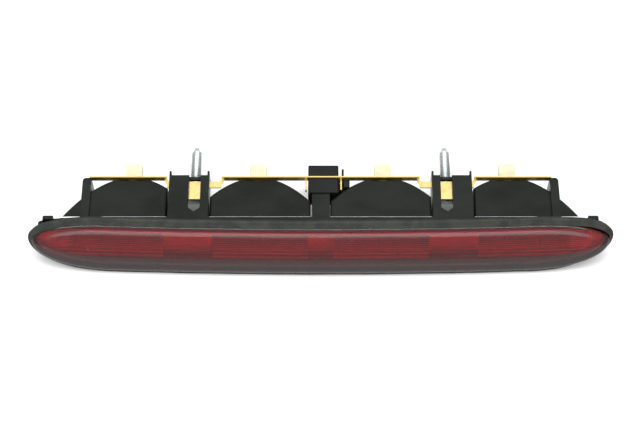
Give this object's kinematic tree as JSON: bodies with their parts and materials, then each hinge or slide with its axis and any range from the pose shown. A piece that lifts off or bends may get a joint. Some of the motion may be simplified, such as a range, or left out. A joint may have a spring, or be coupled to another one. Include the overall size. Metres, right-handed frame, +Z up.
{
  "type": "third brake light",
  "caption": "Long raked high-level brake light with a red lens, gasket, four black reflector bowls, a brass contact strip, wedge bulbs in pull-out holders and two fixing studs.",
  "frame": {"origin": "midway between the two studs, on the plane where the bracket ears meet the panel", "axes": "+X along the lamp, +Y into the car along the studs, so the light leaves towards -Y, +Z up"},
  "size_m": [0.3264, 0.0732, 0.0274],
  "materials": {
    "frame_black": "moulded black plastic, fine satin",
    "bowl_black": "moulded black plastic, smooth satin",
    "reflector_bright": "vacuum metallised",
    "lens_red": "polished red acrylic, fluted inside",
    "gasket_rubber": "dull moulded rubber",
    "brass": "rolled brass strip",
    "zinc": "bright zinc plate",
    "connector_black": "black nylon",
    "pin_tin": "tinned",
    "holder_ivory": "natural nylon",
    "bulb_glass": "clear glass",
    "filament": "tungsten wire"
  },
  "bodies": {
    "lamp": {"mounting_frame": "frame_black", "bowl_1": "bowl_black", "bowl_2": "bowl_black", "bowl_3": "bowl_black", "bowl_4": "bowl_black", "reflector_1": "reflector_bright", "reflector_2": "reflector_bright", "reflector_3": "reflector_bright", "reflector_4": "reflector_bright", "reflector_plate": "reflector_bright", "lens": "lens_red", "gasket": "gasket_rubber", "contact_strip": "brass", "stud_left": "zinc", "stud_right": "zinc", "connector_housing": "connector_black", "connector_pins": "pin_tin"},
    "holder_unit_1": {"bulb_holder_1": "holder_ivory", "holder_contact_1": "brass"},
    "bulb_1": {"bulb_glass_1": "bulb_glass", "bulb_filament_1": "filament"},
    "holder_unit_2": {"bulb_holder_2": "holder_ivory", "holder_contact_2": "brass"},
    "bulb_2": {"bulb_glass_2": "bulb_glass", "bulb_filament_2": "filament"},
    "holder_unit_3": {"bulb_holder_3": "holder_ivory", "holder_contact_3": "brass"},
    "bulb_3": {"bulb_glass_3": "bulb_glass", "bulb_filament_3": "filament"},
    "holder_unit_4": {"bulb_holder_4": "holder_ivory", "holder_contact_4": "brass"},
    "bulb_4": {"bulb_glass_4": "bulb_glass", "bulb_filament_4": "filament"}
  },
  "joints": [
    {"name": "holder_1_pull", "type": "slide", "parent": "lamp", "child": "holder_unit_1", "axis": [0, 1, 0], "range_m": [0, 0.032]},
    {"name": "bulb_1_pull", "type": "slide", "parent": "holder_unit_1", "child": "bulb_1", "axis": [0, -1, 0], "range_m": [0, 0.01]},
    {"name": "holder_2_pull", "type": "slide", "parent": "lamp", "child": "holder_unit_2", "axis": [0, 1, 0], "range_m": [0, 0.032]},
    {"name": "bulb_2_pull", "type": "slide", "parent": "holder_unit_2", "child": "bulb_2", "axis": [0, -1, 0], "range_m": [0, 0.01]},
    {"name": "holder_3_pull", "type": "slide", "parent": "lamp", "child": "holder_unit_3", "axis": [0, 1, 0], "range_m": [0, 0.032]},
    {"name": "bulb_3_pull", "type": "slide", "parent": "holder_unit_3", "child": "bulb_3", "axis": [0, -1, 0], "range_m": [0, 0.01]},
    {"name": "holder_4_pull", "type": "slide", "parent": "lamp", "child": "holder_unit_4", "axis": [0, 1, 0], "range_m": [0, 0.032]},
    {"name": "bulb_4_pull", "type": "slide", "parent": "holder_unit_4", "child": "bulb_4", "axis": [0, -1, 0], "range_m": [0, 0.01]}
  ]
}
